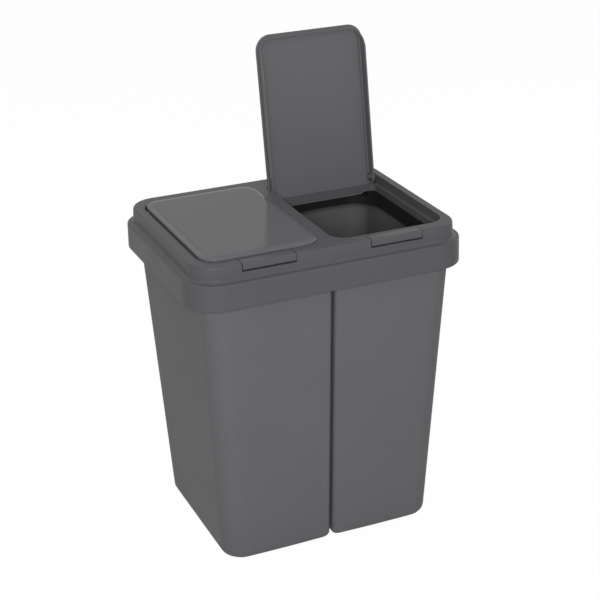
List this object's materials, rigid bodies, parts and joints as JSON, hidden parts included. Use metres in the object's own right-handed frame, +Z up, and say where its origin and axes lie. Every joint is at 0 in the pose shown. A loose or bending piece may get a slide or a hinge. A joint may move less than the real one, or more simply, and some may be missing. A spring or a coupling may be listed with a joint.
{
  "type": "double recycling bin",
  "caption": "Free-standing household waste bin with side-by-side tapered tubs, a shared top frame, hinged lids with front push latches, and black bag rings inside.",
  "frame": {"origin": "centre of the footprint on the floor", "axes": "+Z up, +X to the right as seen from the latches, +Y to the back, where the hinges are"},
  "size_m": [0.43, 0.336, 0.7238],
  "materials": {
    "tub_grey": "fine-grained moulded grey polypropylene",
    "frame_grey": "satin moulded grey polypropylene, slightly darker than the tubs",
    "lid_grey": "satin moulded grey polypropylene",
    "latch_grey": "satin moulded grey polypropylene",
    "pin_grey": "satin moulded grey polypropylene",
    "ring_black": "matt black moulded polypropylene"
  },
  "bodies": {
    "tub_left": {"bucket_left": "tub_grey"},
    "tub_right": {"bucket_right": "tub_grey"},
    "frame": {"top_frame": "frame_grey", "latch_pin_left": "pin_grey", "latch_pin_right": "pin_grey"},
    "ring_left": {"liner_ring_left": "ring_black"},
    "ring_right": {"liner_ring_right": "ring_black"},
    "lid_left": {"lid_left": "lid_grey", "hinge_pin_left_outer": "pin_grey", "hinge_pin_left_inner": "pin_grey"},
    "lid_right": {"lid_right": "lid_grey", "hinge_pin_right_outer": "pin_grey", "hinge_pin_right_inner": "pin_grey"},
    "latch_left": {"latch_left": "latch_grey"},
    "latch_right": {"latch_right": "latch_grey"}
  },
  "joints": [
    {"name": "frame_lift", "type": "slide", "parent": "tub_left", "child": "frame", "axis": [0, 0, 1], "range_m": [0, 0.25]},
    {"name": "tub_right_lift", "type": "slide", "parent": "tub_left", "child": "tub_right", "axis": [0, 0, 1], "range_m": [0, 0.075]},
    {"name": "ring_left_lift", "type": "slide", "parent": "tub_left", "child": "ring_left", "axis": [0, 0, 1], "range_m": [0, 0.15]},
    {"name": "ring_right_lift", "type": "slide", "parent": "tub_left", "child": "ring_right", "axis": [0, 0, 1], "range_m": [0, 0.15]},
    {"name": "lid_left_hinge", "type": "hinge", "parent": "frame", "child": "lid_left", "pos_m": [-0.098, 0.1021, 0.4875], "axis": [-1, 0, 0], "range_deg": [0, 98.5]},
    {"name": "lid_right_hinge", "type": "hinge", "parent": "frame", "child": "lid_right", "pos_m": [0.098, 0.1021, 0.4875], "axis": [-1, 0, 0], "range_deg": [-98.5, 0]},
    {"name": "latch_left_press", "type": "hinge", "parent": "frame", "child": "latch_left", "pos_m": [-0.098, -0.1445, 0.4865], "axis": [1, 0, 0], "range_deg": [0, 6], "stiffness_Nm_per_rad": 0.1},
    {"name": "latch_right_press", "type": "hinge", "parent": "frame", "child": "latch_right", "pos_m": [0.098, -0.1445, 0.4865], "axis": [1, 0, 0], "range_deg": [0, 6], "stiffness_Nm_per_rad": 0.1}
  ],
  "couplings": [
    {"joint": "tub_right_lift", "follows": "frame_lift", "ratio": 0.3},
    {"joint": "ring_left_lift", "follows": "frame_lift", "ratio": 0.6},
    {"joint": "ring_right_lift", "follows": "frame_lift", "ratio": 0.6}
  ]
}
